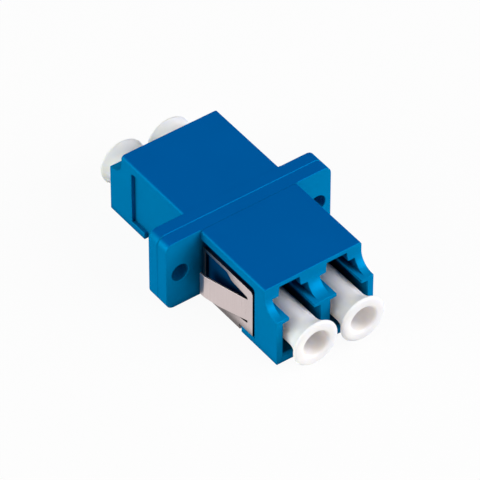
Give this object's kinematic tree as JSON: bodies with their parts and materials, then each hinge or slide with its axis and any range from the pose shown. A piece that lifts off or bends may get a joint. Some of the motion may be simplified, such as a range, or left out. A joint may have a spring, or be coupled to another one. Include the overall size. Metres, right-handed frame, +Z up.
{
  "type": "duplex fibre optic adapter",
  "caption": "Blue duplex fibre optic adapter with a screw flange round its middle, square latch ports at both ends, a spring panel clip and white round dust caps.",
  "frame": {"origin": "on the flat underside, in the middle of the width and on the weld seam in the middle of the flange", "axes": "+X across the two ports to the right as seen from the clip's end, +Y along the ports from the clip's end to the rear, +Z up, away from the underside"},
  "size_m": [0.022, 0.036, 0.0093],
  "materials": {
    "housing": "satin",
    "spring_steel": "satin",
    "ceramic": "polished",
    "cap": "satin"
  },
  "bodies": {
    "adapter": {"front_housing": "housing", "rear_housing": "housing", "panel_clip": "spring_steel", "sleeve_left": "ceramic", "sleeve_right": "ceramic"},
    "cap_front_left": {"dust_cap_front_left": "cap"},
    "cap_front_right": {"dust_cap_front_right": "cap"},
    "cap_rear_left": {"dust_cap_rear_left": "cap"},
    "cap_rear_right": {"dust_cap_rear_right": "cap"}
  },
  "joints": [
    {"name": "cap_front_left_slide", "type": "slide", "parent": "adapter", "child": "cap_front_left", "axis": [0, -1, 0], "range_m": [0, 0.0145]},
    {"name": "cap_front_right_slide", "type": "slide", "parent": "adapter", "child": "cap_front_right", "axis": [0, -1, 0], "range_m": [0, 0.0145]},
    {"name": "cap_rear_left_slide", "type": "slide", "parent": "adapter", "child": "cap_rear_left", "axis": [0, 1, 0], "range_m": [0, 0.0145]},
    {"name": "cap_rear_right_slide", "type": "slide", "parent": "adapter", "child": "cap_rear_right", "axis": [0, 1, 0], "range_m": [0, 0.0145]}
  ]
}
